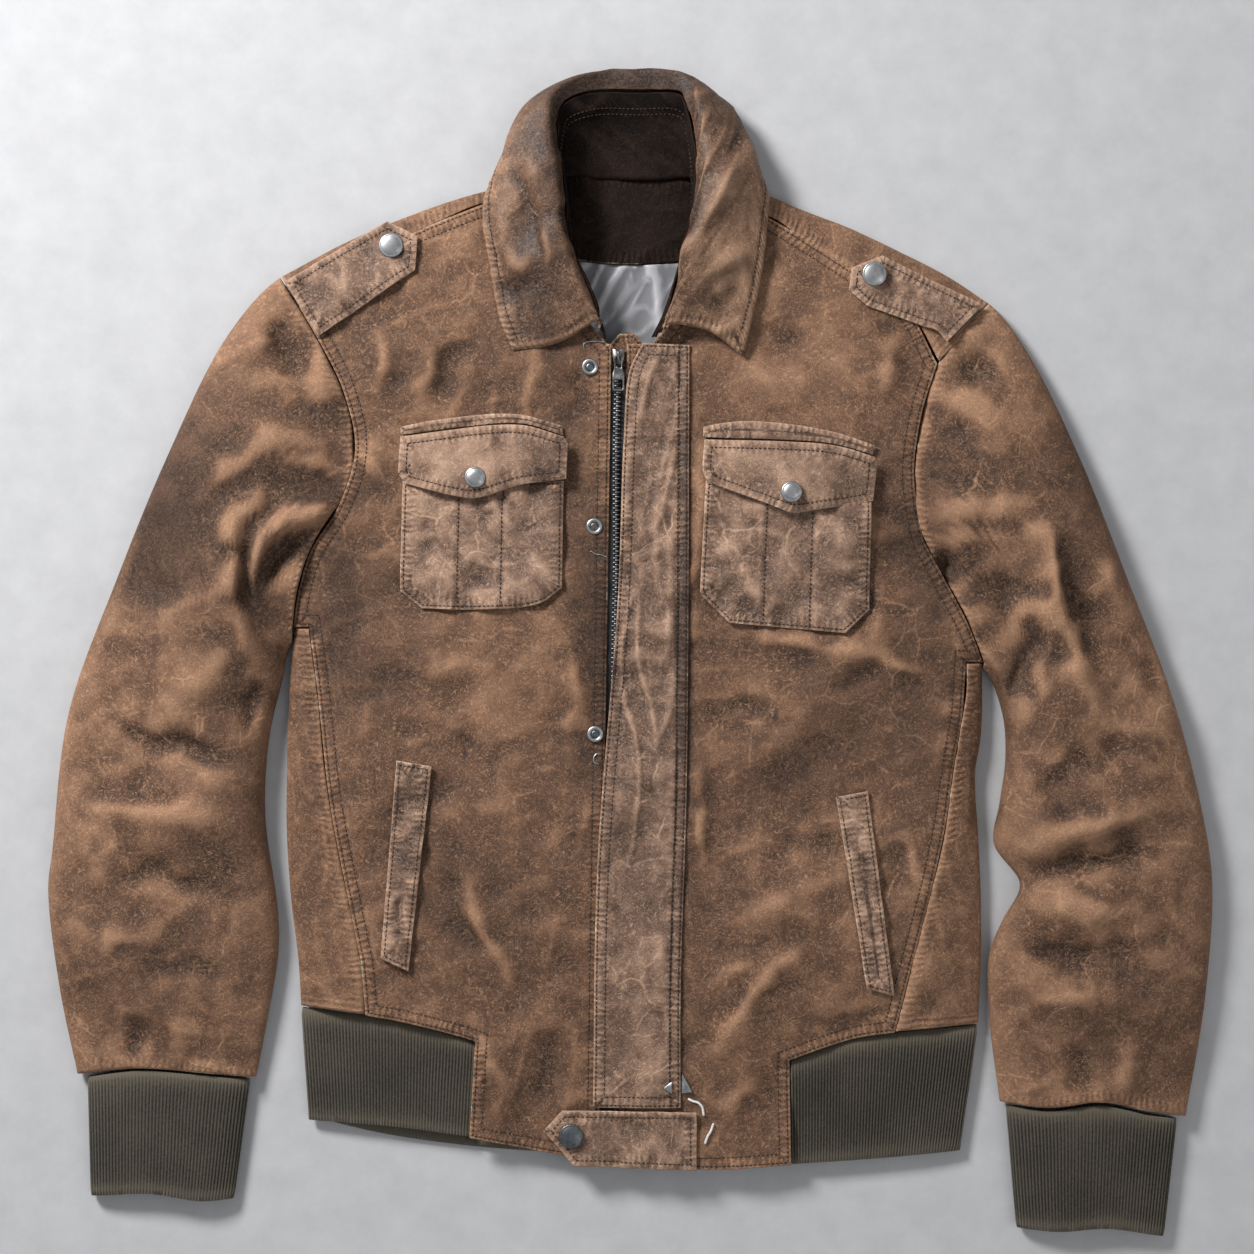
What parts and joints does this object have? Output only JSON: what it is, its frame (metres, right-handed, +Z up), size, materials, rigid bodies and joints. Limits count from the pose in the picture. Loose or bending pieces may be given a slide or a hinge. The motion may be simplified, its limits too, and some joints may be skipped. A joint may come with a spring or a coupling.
{
  "type": "leather field jacket",
  "caption": "Worn brown leather field jacket laid flat and zipped up, with a shirt collar, flapped chest pockets, shoulder straps, a placket over the zip and rib-knit hem and cuffs.",
  "frame": {"origin": "centre of the object's outline, on the surface it lies on", "axes": "+Z is up from the surface to the front of the jacket, +Y towards the collar, +X towards the wearer's left sleeve"},
  "size_m": [0.7994, 0.8024, 0.0451],
  "materials": {
    "leather": "matt waxed leather with a fine fibrous nap, rubbed lighter along edges, folds and seams",
    "rib_knit": "matt doubled rib knit, fine vertical ribs",
    "lining": "satin-weave lining with a soft sheen",
    "zip_tape": "matt woven tape",
    "zip_metal": "darkened steel, bright where rubbed",
    "snap_metal": "worn satin steel, dull in the recesses"
  },
  "bodies": {
    "jacket": {"back": "leather", "back_facing": "leather", "front_right": "leather", "front_left": "leather", "side_panel_right": "leather", "side_panel_left": "leather", "yoke_right": "leather", "yoke_left": "leather", "sleeve_right": "leather", "sleeve_left": "leather", "collar_leaf": "leather", "collar_stand": "leather", "zip_guard": "leather", "placket": "leather", "hem_tab": "leather", "pocket_right": "leather", "pocket_left": "leather", "flap_right": "leather", "flap_left": "leather", "flap_welt_right": "leather", "flap_welt_left": "leather", "hand_welt_right": "leather", "hand_welt_left": "leather", "epaulette_right": "leather", "epaulette_left": "leather", "hem_rib": "rib_knit", "cuff_right": "rib_knit", "cuff_left": "rib_knit", "lining": "lining", "zip_tape_right": "zip_tape", "zip_tape_left": "zip_tape", "zip_chain": "zip_metal", "zip_slider": "zip_metal", "epaulette_snap_right": "snap_metal", "epaulette_snap_left": "snap_metal", "flap_snap_right": "snap_metal", "flap_snap_left": "snap_metal", "tab_snap": "snap_metal", "front_socket_1": "snap_metal", "front_socket_2": "snap_metal", "front_socket_3": "snap_metal", "hem_clip_right": "snap_metal", "hem_clip_left": "snap_metal"},
    "zip_pull": {"zip_pull": "zip_metal"}
  },
  "joints": [
    {"name": "pull_swing", "type": "hinge", "parent": "jacket", "child": "zip_pull", "pos_m": [-0.0086, 0.203, 0.02564], "axis": [-1, 0, 0], "range_deg": [0, 150]}
  ]
}
